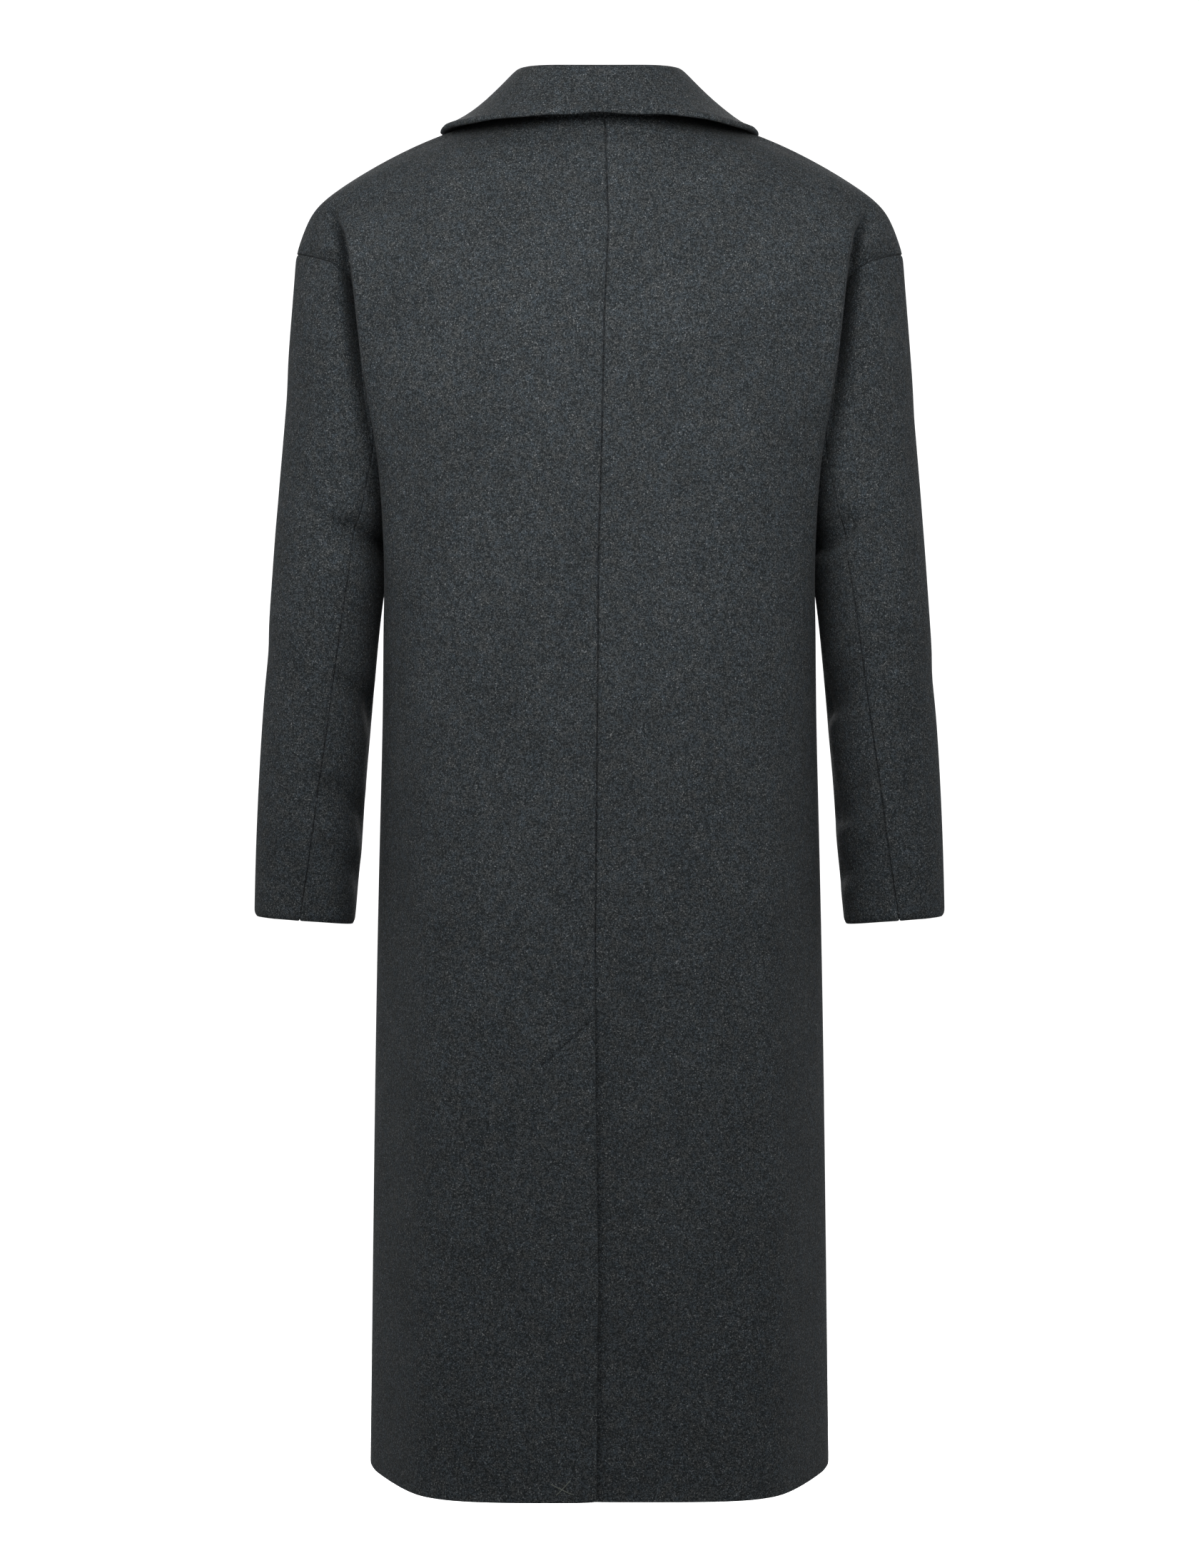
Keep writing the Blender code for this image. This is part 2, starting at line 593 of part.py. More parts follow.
def make_button(name, panel, level, material, collection):
    """Round button with a raised rim, sewn on the left front."""
    place = place_on_front(panel, 0.0, level)
    point, normal = panel.face(place[:1], place[1:])
    axis = Vector(normal[0, 0])
    seat = Vector(point[0, 0]) + Vector((0.0, -SEAM_GAP / 2.0, 0.0)) + axis * BUTTON_LIFT
    disc = bmesh.new()
    bmesh.ops.create_cone(disc, cap_ends=True, segments=BUTTON_SIDES, radius1=BUTTON_RADIUS * MM,
                          radius2=BUTTON_RADIUS * MM, depth=BUTTON_HEIGHT * MM)
    top = max(disc.faces, key=lambda face: face.calc_center_median().z)
    rim_edges = list(top.edges)
    bmesh.ops.bevel(disc, geom=rim_edges, offset=BUTTON_EDGE * MM, offset_type="OFFSET", segments=2,
                    profile=0.5, affect="EDGES", material=-1)
    top = max(disc.faces, key=lambda face: face.calc_center_median().z)
    bmesh.ops.inset_region(disc, faces=[top], thickness=BUTTON_RIM * MM, depth=-BUTTON_DISH * MM)
    outwards = Vector((0.0, 0.0, 1.0)).rotation_difference(axis).to_matrix().to_4x4()
    middle = (seat + axis * BUTTON_HEIGHT / 2.0) * MM
    bmesh.ops.transform(disc, matrix=Matrix.Translation(middle) @ outwards, verts=disc.verts)
    bmesh.ops.recalc_face_normals(disc, faces=disc.faces[:])
    return add_object(name, disc, material, collection)


def make_material(name, colour, roughness):
    """Plain Principled material."""
    made = bpy.data.materials.new(name)
    made.use_nodes = True
    shader = made.node_tree.nodes["Principled BSDF"]
    shader.inputs["Base Color"].default_value = (*colour, 1.0)
    shader.inputs["Roughness"].default_value = roughness
    shader.inputs["Metallic"].default_value = 0.0
    return made


def start_empty_scene():
    """Remove what is in the scene and add a collection for the coat."""
    for old in list(bpy.data.objects):
        bpy.data.objects.remove(old, do_unlink=True)
    collection = bpy.data.collections.new(OBJECT_NAME)
    bpy.context.scene.collection.children.link(collection)
    return collection


def main():
    """Build the overcoat."""
    collection = start_empty_scene()
    wool = make_material("charcoal_wool", WOOL_COLOUR, WOOL_ROUGHNESS)
    horn = make_material("dark_horn", HORN_COLOUR, HORN_ROUGHNESS)
    back_panel = Panel(back_controls(), 1.0)
    front_panel = Panel(front_controls(), -1.0)
    up = row_places()
    back = back_half(back_panel, up)
    front = front_half(front_panel, up)
    outer, normals, seam, panel_rim = sleeve_grid(armhole_loop(back, front, up))
    set_armhole_rims(back, front, up, panel_rim)

    back_inner = back[0] - back[1] * WALL
    back_inner[:, 0, 0] = SEAM_GAP / 2.0
    front_inner = front[0] - front[1] * WALL
    make_shell("back_left", back[0], back_inner, wool, collection)
    make_shell("back_right", mirrored(vent_underlap(back[0])), mirrored(vent_underlap(back_inner)),
               wool, collection)
    make_shell("front_left", front[0], front_inner, wool, collection)
    make_shell("front_right", mirrored(front_underlap(front[0])), mirrored(front_underlap(front_inner)),
               wool, collection)

    count = outer.shape[1]
    top_lines = np.arange(seam, count - seam + 1)
    under_lines = np.arange(count - seam, count + seam + 1) % count
    for part, lines in (("top", top_lines), ("under", under_lines)):
        piece_outer, piece_inner = sleeve_piece(outer, normals, lines)
        make_shell(f"sleeve_{part}_left", piece_outer, piece_inner, wool, collection)
        make_shell(f"sleeve_{part}_right", mirrored(piece_outer), mirrored(piece_inner), wool, collection)

    make_collar(back, front, wool, collection)
    make_lapel("lapel_left", front_panel, False, wool, collection)
    make_lapel("lapel_right", front_panel, True, wool, collection)
    for name, level in BUTTON_LEVELS.items():
        make_button(name, front_panel, level, horn, collection)


main()
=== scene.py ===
import math
from collections import namedtuple
from itertools import combinations

import bmesh
import bpy
import numpy as np
from mathutils import Matrix, Vector
from mathutils.bvhtree import BVHTree
from mathutils.kdtree import KDTree


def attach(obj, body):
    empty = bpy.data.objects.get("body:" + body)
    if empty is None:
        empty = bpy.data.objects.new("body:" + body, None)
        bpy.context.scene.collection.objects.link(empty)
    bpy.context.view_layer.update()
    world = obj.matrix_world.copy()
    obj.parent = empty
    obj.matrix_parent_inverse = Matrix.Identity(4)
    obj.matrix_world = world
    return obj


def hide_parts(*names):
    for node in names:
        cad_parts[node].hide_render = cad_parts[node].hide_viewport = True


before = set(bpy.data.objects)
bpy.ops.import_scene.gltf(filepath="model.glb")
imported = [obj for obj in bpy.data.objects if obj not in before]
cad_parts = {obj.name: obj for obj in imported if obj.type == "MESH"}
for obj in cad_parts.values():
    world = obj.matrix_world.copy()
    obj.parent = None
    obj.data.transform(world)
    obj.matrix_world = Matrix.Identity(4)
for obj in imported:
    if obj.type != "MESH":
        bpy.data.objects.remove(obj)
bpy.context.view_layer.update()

MM = 0.001
BODY = "root"

# Camera, level with the middle of the coat's length and square to its back, in metres
PHOTO_HEIGHT = 2197
PIXEL = 0.63 * MM               # one pixel of the photograph in the plane of the side seams
CAMERA_DISTANCE = 2.9
CAMERA_LEVEL = -0.585
CAMERA_TURN = (math.radians(90.0), 0.0, math.radians(180.0))
CAMERA_REACH = 100.0
SENSOR_HEIGHT = 36.0            # millimetres

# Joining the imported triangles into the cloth's own grid again
MERGE = 1e-5                    # metres
POINT_DIGITS = 7                # digits of a place in metres that tell two corners apart
GRID_INFLUENCE = 1.5            # how strongly pairs that continue the grid are preferred
RIM_ANGLE = math.radians(60.0)  # an outward corner sharper than this is a cut edge

# Seams, in millimetres: cut edges this close to another piece's are sewn, and the cloth dips towards the
# stitches
RIM_STEPS = 12                  # test points along each side of a cut edge
SEWN_REACH = 2.5
SEAM_DIP = 1.0
SEAM_HALF_WIDTH = 2.2
SEAM_GROOVE = 0.62              # the cloth stops this far short of the seam
SEAM_END = 30.0                 # and closes up over this length towards a hem
SEAM_CLOSE = 0.12               # where it reaches this far past the seam
GROOVE_CUTS = 2                 # cuts across the wall, so that its faces can move apart

# Cut pieces of wool. The level is how often the surface is divided to smooth it. The edge is the rounding
# of a cut edge, the lap is how far the cloth reaches past it under a seam, and the tuck is how far it goes
# in there, all in millimetres. The flat size, in metres, is the rectangle that the cut piece needs, and the
# area is that of the piece itself.
Cut = namedtuple("Cut", "level edge lap tuck width length area hangs_from")
BACK_CUT = Cut(3, 0.3, 0.9, 0.0, 0.33, 1.21, 0.340, ["collar"])
FRONT_CUT = Cut(2, 0.3, 0.9, 0.0, 0.36, 1.21, 0.345, ["collar"])
TOP_SLEEVE_CUT = Cut(3, 0.3, 0.9, 0.0, 0.30, 0.60, 0.130, ["back_left", "back_right"])
UNDER_SLEEVE_CUT = Cut(3, 0.3, 0.9, 0.0, 0.15, 0.54, 0.052, ["back_left", "back_right"])
COLLAR_CUT = Cut(2, 1.2, 7.0, 3.5, 0.52, 0.15, 0.066, ["back_left", "back_right"])
LAPEL_CUT = Cut(2, 1.0, 0.0, 0.0, 0.10, 0.29, 0.0145, ["front_left", "front_right"])
CUTS = {
    "back_left": BACK_CUT,
    "back_right": BACK_CUT,
    "front_left": FRONT_CUT,
    "front_right": FRONT_CUT,
    "sleeve_top_left": TOP_SLEEVE_CUT,
    "sleeve_top_right": TOP_SLEEVE_CUT,
    "sleeve_under_left": UNDER_SLEEVE_CUT,
    "sleeve_under_right": UNDER_SLEEVE_CUT,
    "collar": COLLAR_CUT,
    "lapel_left": LAPEL_CUT,
    "lapel_right": LAPEL_CUT,
}

# The centre back seam wanders from the middle: level and shift to the wearer's left, in millimetres
Sway = namedtuple("Sway", "level shift")
SEAM_SWAYS = [
    Sway(-1190, 2.6),
    Sway(-1000, 1.0),
    Sway(-760, 4.0),
    Sway(-585, 2.2),
    Sway(-390, 0.8),
    Sway(-290, -2.1),
    Sway(-190, -4.1),
    Sway(-110, -7.7),
    Sway(-60, -6.0),
    Sway(10, -4.0),
]
SEAM_SWAY_REACH = 95.0

# Troughs in the cloth, as they show on the back or front: the path is a row of points (x, level), the
# widths are on the left and right of someone who walks along it, and the depth is positive inwards,
# so that a ridge has a negative one. All are in millimetres.
Crease = namedtuple("Crease", "kind path left_width right_width depth")
BACK_CREASES = [
    Crease("back", [(-4, -70), (-2, -420)], 46, 46, 2.4),
    Crease("back", [(95, -150), (120, -330)], 42, 42, -1.6),
    Crease("back", [(-100, -140), (-118, -350)], 40, 40, -1.9),
    Crease("back", [(70, -560), (96, -1010)], 48, 48, 2.2),
    Crease("back", [(-88, -620), (-80, -1060)], 55, 55, 1.8),
    Crease("sleeve", [(214, -362), (200, -370), (184, -371)], 24, 6, 10.0),
    Crease("sleeve", [(212, -338), (198, -348)], 9, 9, -3.0),
    Crease("sleeve", [(212, -500), (196, -512)], 22, 7, 6.5),
    Crease("sleeve", [(226, -590), (212, -604)], 24, 6, 5.5),
    Crease("sleeve", [(236, -640), (214, -662)], 16, 6, 4.0),
    Crease("sleeve", [(262, -250), (252, -330)], 26, 26, 2.2),
    Crease("sleeve", [(284, -470), (262, -520)], 18, 18, 1.8),
    Crease("sleeve", [(-184, -380), (-200, -378), (-213, -372)], 6, 22, 9.0),
    Crease("sleeve", [(-198, -356), (-211, -346)], 9, 9, -2.6),
    Crease("sleeve", [(-196, -524), (-211, -514)], 7, 24, 6.0),
    Crease("sleeve", [(-214, -616), (-227, -600)], 6, 22, 5.0),
    Crease("sleeve", [(-214, -668), (-234, -650)], 6, 15, 4.2),
    Crease("sleeve", [(-258, -268), (-249, -350)], 24, 24, 2.0),
    Crease("sleeve", [(-286, -492), (-266, -536)], 17, 17, 2.0),
]
FRONT_CREASES = [
    Crease("front", [(24, -450), (108, -352)], 20, 20, 3.0),
    Crease("front", [(150, -300), (168, -420)], 24, 24, 3.6),
    Crease("front", [(60, -720), (96, -1050)], 44, 44, 3.4),
    Crease("front", [(-58, -470), (-120, -366)], 22, 22, 2.6),
    Crease("front", [(-148, -310), (-166, -450)], 22, 22, 4.0),
    Crease("front", [(-84, -700), (-70, -1080)], 50, 50, 3.0),
    Crease("sleeve", [(226, -400), (276, -436)], 12, 7, 5.6),
    Crease("sleeve", [(222, -446), (268, -470)], 11, 6, 4.8),
    Crease("sleeve", [(238, -250), (262, -330)], 22, 22, 3.0),
    Crease("sleeve", [(-228, -412), (-272, -452)], 7, 12, 5.2),
    Crease("sleeve", [(-224, -462), (-264, -480)], 6, 11, 4.4),
    Crease("sleeve", [(-240, -262), (-258, -346)], 20, 20, 3.2),
]

# Folds behind the arms, where the cloth of the back stands over the sleeve. At each level: how far the fold
# lies from the middle, how far the cloth goes in along it, and how far the back's side moves out over it,
# in millimetres.
ArmFold = namedtuple("ArmFold", "level out depth over")
ARM_FOLDS = [
    ArmFold(-430, 188, 0.0, 0.0),
    ArmFold(-365, 190, 0.0, 2.2),
    ArmFold(-305, 194, 3.0, 2.6),
    ArmFold(-250, 202, 9.0, 3.2),
    ArmFold(-220, 205, 15.0, 4.2),
    ArmFold(-192, 207, 22.0, 5.2),
    ArmFold(-166, 210, 28.0, 5.2),
    ArmFold(-134, 214, 30.0, 5.2),
    ArmFold(-108, 219, 24.0, 5.8),
    ArmFold(-84, 234, 0.0, 0.0),
]
FOLD_BODY_WIDTH = 3.0
FOLD_SLEEVE_WIDTH = 9.0
FOLD_RIDGE = 0.1                # height of the ridge beside the fold, as a share of the fold's depth
LAP_INSIDE = 6.0                # from the fold to the ridge that moves over it
LAP_BODY_WIDTH = 9.0
LAP_SLEEVE_WIDTH = 6.0
SLEEVE_TURN = 22.0              # depth over which a sleeve turns from its back to its front
SLEEVE_CURVE = 2                # degree of the curve along a sleeve's middle

# Slanted sewing that holds the top of the vent's underlap, on the left back: (x, level) in millimetres
VENT_SEWING_START = (3.5, -781.0)
VENT_SEWING_END = (50.5, -824.0)
VENT_SEWING_HALF_WIDTH = 1.6
VENT_SEWING_DEPTH = 1.8
VENT_SEWING_REACH = 7.0
VENT_SEWING_OVERRUN = 0.05      # cloth past the line's ends that is cut with it, as a share of its length
VENT_SEWING_END_DEPTH = 0.2     # how deep the line's ends are before easing, as a share
VENT_SEWING_END_SLOPE = 8.0     # how fast the line deepens from its ends
OUTER_FACE = 0.5                # least backward share of a face's direction on the outside of the back

# Free edges that stand off the cloth under them: place of the edge, top of its free part, and how far it
# stands out towards the back and up, in millimetres
FreeEdge = namedtuple("FreeEdge", "x top out up")
FREE_EDGES = {
    "back_left": FreeEdge(0.0, -790.0, 3.2, 1.2),
    "front_left": FreeEdge(-35.0, -400.0, -2.2, 0.0),
}
EDGE_REACH = 24.0               # width of the cloth that is lifted with the edge
EDGE_START = 60.0               # length over which the lift becomes full

# Cuffs, in millimetres: the sleeve spreads towards the body above them, their line rises at the back and
# front, and their edge is turned in
CUFF_SPREAD = 2.6
CUFF_SPREAD_TOP = -560.0        # level below which the sleeve spreads
CUFF_SPREAD_LENGTH = 100.0      # length over which the spread becomes full
CUFF_HALF_WIDTH = 44.0
CUFF_REACH = 60.0               # length of the sleeve that moves with the cuff's line
CUFF_RISE = 0.9                 # at the back and front
CUFF_SIDE_DROP = 2.0            # at the sides, from there
CUFF_ROLL_RADIUS = 6.0
CUFF_ROLL_SHARE = 0.55          # how much of a round roll the turned edge makes

# The outer edge of a lapel stands off the front, in millimetres
LAPEL_LIFT = 2.4
LAPEL_LIFT_REACH = 16.0

# Rolled lip along the collar's free edge, in millimetres
LIP_SWELL = 1.2                 # how far the lip stands out of the cloth
LIP_MIDDLE = 3.0                # from the edge to the lip's highest line
LIP_HALF_WIDTH = 3.0
LIP_TOP = 16.0                  # level below which the edge is rolled
LIP_DEPTH = 22.0                # depth over which the roll becomes full
LIP_STAND = 4.0                 # how far the edge stands off the back
LIP_STAND_REACH = 22.0
LIP_TURN = 50.0                 # depth over which the collar turns to the back

# Unevenness of the lip: length and height of each wave in millimetres, and its start as an angle
Wave = namedtuple("Wave", "length height start")
LIP_WAVES = [
    Wave(118.0, 0.7, 0.4),
    Wave(47.0, 0.4, 1.9),
    Wave(150.0, -1.3, 0.92),
]

# Crossed tacking threads near the hem, on the left back: (x, level) of the two ends of each, in millimetres
TackThread = namedtuple("TackThread", "start end")
TACK_THREADS = [
    TackThread((24.0, -1165.0), (36.5, -1178.0)),
    TackThread((41.0, -1168.0), (22.5, -1177.0)),
]
TACK_RADIUS = 0.5
TACK_SINK = 0.15
TACK_POINTS = 7
THREAD_ROUNDNESS = 2

# Buttons of turned horn with four holes, in millimetres
BUTTON_NODES = ("button_top", "button_middle", "button_bottom")
BUTTON_STEPS = 72
BUTTON_SHARP_ANGLE = math.radians(40.0)
BUTTON_HOLE_RADIUS = 1.1
BUTTON_HOLE_SPREAD = 2.6        # from the button's middle to each hole, along both axes
BUTTON_HOLE_SIDES = 20
HOLE_CUT_LENGTH = 3.0           # length of the cut for a hole, as a share of the button's height
BUTTON_THREAD_RADIUS = 0.55
BUTTONHOLE_LENGTH = 33.0
BUTTONHOLE_WIDTH = 4.2
BUTTONHOLE_SHIFT = 4.0          # towards the front's edge
BUTTONHOLE_POINTS = 40

# Turned profile of a button, from the middle of its back round its rim to the middle of its dished face, as
# shares of the button's radius and height
Turning = namedtuple("Turning", "radius height")
BUTTON_PROFILE = [
    Turning(0.0, 0.0),
    Turning(0.72, 0.0),
    Turning(0.90, 0.10),
    Turning(0.985, 0.36),
    Turning(1.0, 0.62),
    Turning(0.965, 0.88),
    Turning(0.90, 0.99),
    Turning(0.82, 1.0),
    Turning(0.75, 0.93),
    Turning(0.69, 0.80),
    Turning(0.58, 0.73),
    Turning(0.30, 0.70),
    Turning(0.0, 0.69),
]

# Bars of thread that hold a button
BAR_END = 0.35                  # level of a bar's ends, as a share of the button's height
BAR_TOP = 0.70                  # level of the face under a bar, as a share of the button's height
BAR_STAND = 0.6                 # how far a bar stands over the face, as a share of the thread's radius
BAR_BEND = 0.98                 # level of a bar over a hole, as a share of the level of its top
BAR_FLAT = 0.55                 # length of a bar's flat top, as a share of the way between two holes

# Noise patterns of the wool: size of a mark in millimetres, detail, roughness of the detail, number of the
# draw, lower and upper end of the noise that counts, and what these two ends give
Pattern = namedtuple("Pattern", "size detail roughness draw low high least most")
WOOL_PATTERNS = {
    "tufts": Pattern(1.15, 1.5, 0.60, 1.0, 0.42, 0.80, 0.0, 1.0),
    "casts": Pattern(6.0, 2.0, 0.50, 2.0, 0.36, 0.64, 0.0, 1.0),
    "clouds": Pattern(45.0, 3.0, 0.50, 3.0, 0.30, 0.70, 0.90, 1.08),
    "flecks": Pattern(1.0, 0.0, 0.50, 4.0, 0.66, 0.80, 0.0, 0.6),
    "nap": Pattern(1.3, 2.0, 0.65, 5.0, 0.0, 1.0, 0.0, 1.0),
}
NAP_HEIGHT = 0.5 * MM
NAP_STRENGTH = 0.5
WOOL_ROUGHNESS = 0.95
WOOL_GLOSS = 0.15
WOOL_SHEEN = 0.05
WOOL_SHEEN_ROUGHNESS = 0.45

# Horn: sizes of streaks and turning marks in millimetres, their detail, and the ranges that they give
STREAK_SIZE = 9.0
STREAK_DETAIL = 4.0
STREAK_TWIST = 1.4
STREAK_RANGE = (0.45, 0.70)
TURNING_MARK_SIZE = 0.8
TURNING_MARK_DETAIL = 2.0
HORN_ROUGHNESS = (0.26, 0.42)
HORN_IOR = 1.54

# Thread: size and height of a ply in millimetres, and the painted light and shade on the plies: how dark and
# light they are
PLY_SIZE = 0.7
PLY_DETAIL = 1.0
PLY_RANGE = (0.3, 0.7)
PLY_SHADE = (0.6, 1.3)
PLY_HEIGHT = 0.1 * MM
PLY_STRENGTH = 0.6
THREAD_ROUGHNESS = 0.7

# Sockets of a node that mixes two colours
MIX_SHARE = 0
MIX_FIRST = 6
MIX_SECOND = 7
MIX_RESULT = 2

# Soft boxes of light: place, target, width and height in metres, and power in watts
Light = namedtuple("Light", "name place target width height power")
LIGHTS = [
    Light("key", (0.04, 0.86, 0.07), (0.0, 0.10, -0.30), 1.3, 0.35, 6.0),
    Light("overhead", (0.30, 1.00, 1.10), (0.0, 0.10, -0.20), 0.8, 0.5, 1.0),
    Light("front", (0.0, -2.2, 0.45), (0.0, 0.0, -0.5), 1.6, 1.6, 65.0),
    Light("side_left", (2.2, -0.5, 0.0), (0.2, 0.0, -0.5), 1.2, 1.2, 4.5),
    Light("side_right", (-2.2, -0.5, 0.0), (-0.2, 0.0, -0.5), 1.2, 1.2, 5.0),
]
AMBIENT_LIGHT = 0.235

# Stage, in metres
FLOOR_LEVEL = -1.50
FLOOR_RADIUS = 8.5
FLOOR_SIDES = 96
FLOOR_GLOW = 0.9
SURROUND_RADIUS = 9.0
SURROUND_SIDES = 48
SURROUND_RINGS = 24
SURROUND_GLOW = 1.0

# The standard curve from sRGB to linear colour
SRGB_LOW_END = 0.04045
SRGB_LOW_SLOPE = 12.92
SRGB_OFFSET = 0.055
SRGB_POWER = 2.4

# Colours of the fibres and trims
WOOL_DARK = "#292d2f"
WOOL_BLUE = "#626c74"
WOOL_GREY = "#6b6d6d"
WOOL_FLECK = "#b0b3b4"
HORN_DARK = "#120f0d"
HORN_STREAK = "#33281f"
THREAD_DARK = "#1a1d1e"
TACK_COLOUR = "#70756f"
STAGE_WHITE = "#ffffff"


def linear(code):
    """Linear colour from an sRGB hex value."""
    colour = []
    for share in (value / 255.0 for value in bytes.fromhex(code[1:])):
        low = share / SRGB_LOW_SLOPE
        high = ((share + SRGB_OFFSET) / (1.0 + SRGB_OFFSET)) ** SRGB_POWER
        colour.append(low if share <= SRGB_LOW_END else high)
    return (*colour, 1.0)


def smooth_step(share):
    """Ease from 0 to 1."""
    share = np.clip(share, 0.0, 1.0)
    return share * share * (3.0 - 2.0 * share)


def add_node(tree, kind, values, **settings):
    """Add a node with its own settings, and fill its inputs with values or links."""
    node = tree.nodes.new(kind)
    for name, setting in settings.items():
        setattr(node, name, setting)
    for key, value in values.items():
        socket = node.inputs[key]
        if isinstance(value, bpy.types.NodeSocket):
            tree.links.new(value, socket)
        else:
            socket.default_value = value
    return node


def new_material(name):
    """Empty material with its node tree, shader and the piece's own coordinates."""
    material = bpy.data.materials.new(name)
    material.use_nodes = True
    tree = material.node_tree
    shader = tree.nodes["Principled BSDF"]
    place = add_node(tree, "ShaderNodeTexCoord", {}).outputs["Object"]
    return material, tree, shader, place


def per_metre(size):
    """Scale of a pattern whose marks are this many millimetres across."""
    return 1.0 / (size * MM)


def fulled_wool():
    """Fulled melange wool: dark and light fibres felted together, with a short nap.

    The eye sees a fine salt-and-pepper ground with blue and grey casts, single pale fibres,
    no gloss, and a faint pale sheen where the nap is seen edge on.
    """
    material, tree, shader, place = new_material("fulled_melange_wool")
    # The fibres are finer than the picture's pixels, so tufts of them are drawn, about a millimetre across
    amount = {}
    for name, pattern in WOOL_PATTERNS.items():
        noise = add_node(tree, "ShaderNodeTexNoise",
                         {"Vector": place, "Scale": per_metre(pattern.size), "Detail": pattern.detail,
                          "Roughness": pattern.roughness, "W": pattern.draw}, noise_dimensions="4D")
        spread = add_node(tree, "ShaderNodeMapRange",
                          {"Value": noise.outputs["Fac"], "From Min": pattern.low, "From Max": pattern.high,
                           "To Min": pattern.least, "To Max": pattern.most})
        amount[name] = spread.outputs["Result"]
    light = add_node(tree, "ShaderNodeMix",
                     {MIX_SHARE: amount["casts"], MIX_FIRST: linear(WOOL_BLUE),
                      MIX_SECOND: linear(WOOL_GREY)}, data_type="RGBA")
    ground = add_node(tree, "ShaderNodeMix",
                      {MIX_SHARE: amount["tufts"], MIX_FIRST: linear(WOOL_DARK),
                       MIX_SECOND: light.outputs[MIX_RESULT]}, data_type="RGBA")
    flecked = add_node(tree, "ShaderNodeMix",
                       {MIX_SHARE: amount["flecks"], MIX_FIRST: ground.outputs[MIX_RESULT],
                        MIX_SECOND: linear(WOOL_FLECK)}, data_type="RGBA")
    clouded = add_node(tree, "ShaderNodeVectorMath",
                       {"Vector": flecked.outputs[MIX_RESULT], "Scale": amount["clouds"]}, operation="SCALE")
    relief = add_node(tree, "ShaderNodeBump",
                      {"Height": amount["nap"], "Strength": NAP_STRENGTH, "Distance": NAP_HEIGHT})
    tree.links.new(clouded.outputs["Vector"], shader.inputs["Base Color"])
    tree.links.new(relief.outputs["Normal"], shader.inputs["Normal"])
    shader.inputs["Roughness"].default_value = WOOL_ROUGHNESS
    shader.inputs["Specular IOR Level"].default_value = WOOL_GLOSS
    shader.inputs["Sheen Weight"].default_value = WOOL_SHEEN
    shader.inputs["Sheen Roughness"].default_value = WOOL_SHEEN_ROUGHNESS
    return material


def polished_horn():
    """Polished dark horn: near black with brown streaks, a satin gloss and fine turning marks."""
    material, tree, shader, place = new_material("polished_dark_horn")
    streak = add_node(tree, "ShaderNodeTexNoise",
                      {"Vector": place, "Scale": per_metre(STREAK_SIZE), "Detail": STREAK_DETAIL,
                       "Distortion": STREAK_TWIST})
    amount = add_node(tree, "ShaderNodeMapRange",
                      {"Value": streak.outputs["Fac"], "From Min": STREAK_RANGE[0],
                       "From Max": STREAK_RANGE[1]})
    colour = add_node(tree, "ShaderNodeMix",
                      {MIX_SHARE: amount.outputs["Result"], MIX_FIRST: linear(HORN_DARK),
                       MIX_SECOND: linear(HORN_STREAK)}, data_type="RGBA")
    marks = add_node(tree, "ShaderNodeTexNoise",
                     {"Vector": place, "Scale": per_metre(TURNING_MARK_SIZE), "Detail": TURNING_MARK_DETAIL})
    gloss = add_node(tree, "ShaderNodeMapRange",
                     {"Value": marks.outputs["Fac"], "To Min": HORN_ROUGHNESS[0],
                      "To Max": HORN_ROUGHNESS[1]})
    tree.links.new(colour.outputs[MIX_RESULT], shader.inputs["Base Color"])
    tree.links.new(gloss.outputs["Result"], shader.inputs["Roughness"])
    shader.inputs["IOR"].default_value = HORN_IOR
    return material


def twisted_thread(name, code):
    """Twisted polyester thread: dull, with painted light and shade on the plies, as if they catch the light
    in turn.
    """
    material, tree, shader, place = new_material(name)
    ply = add_node(tree, "ShaderNodeTexNoise",
                   {"Vector": place, "Scale": per_metre(PLY_SIZE), "Detail": PLY_DETAIL})
    # Painted light and shade: the thread's colour is made darker and lighter ply by ply
    amount = add_node(tree, "ShaderNodeMapRange",
                      {"Value": ply.outputs["Fac"], "From Min": PLY_RANGE[0], "From Max": PLY_RANGE[1],
                       "To Min": PLY_SHADE[0], "To Max": PLY_SHADE[1]})
    colour = add_node(tree, "ShaderNodeVectorMath",
                      {"Vector": linear(code)[:3], "Scale": amount.outputs["Result"]}, operation="SCALE")
    relief = add_node(tree, "ShaderNodeBump",
                      {"Height": ply.outputs["Fac"], "Strength": PLY_STRENGTH, "Distance": PLY_HEIGHT})
    tree.links.new(colour.outputs["Vector"], shader.inputs["Base Color"])
    tree.links.new(relief.outputs["Normal"], shader.inputs["Normal"])
    shader.inputs["Roughness"].default_value = THREAD_ROUGHNESS
    return material


def add_piece(name, mesh, material):
    """Object at the origin with a finished mesh, shaded smooth, that moves with the coat."""
    mesh.name = name
    mesh.materials.clear()
    mesh.materials.append(material)
    mesh.shade_smooth()
    piece = bpy.data.objects.new(name, mesh)
    bpy.context.scene.collection.objects.link(piece)
    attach(piece, BODY)
    return piece


def finished_mesh(maker):
    """Mesh of an object as its modifiers leave it. The object itself is removed."""
    bpy.context.view_layer.update()
    graph = bpy.context.evaluated_depsgraph_get()
    mesh = bpy.data.meshes.new_from_object(maker.evaluated_get(graph))
    bpy.data.objects.remove(maker, do_unlink=True)
    return mesh


def as_object(name, shape):
    """Plain object from a shape, to put modifiers on."""
    mesh = bpy.data.meshes.new(name)
    shape.to_mesh(mesh)
    shape.free()
    made = bpy.data.objects.new(name, mesh)
    bpy.context.scene.collection.objects.link(made)
    return made


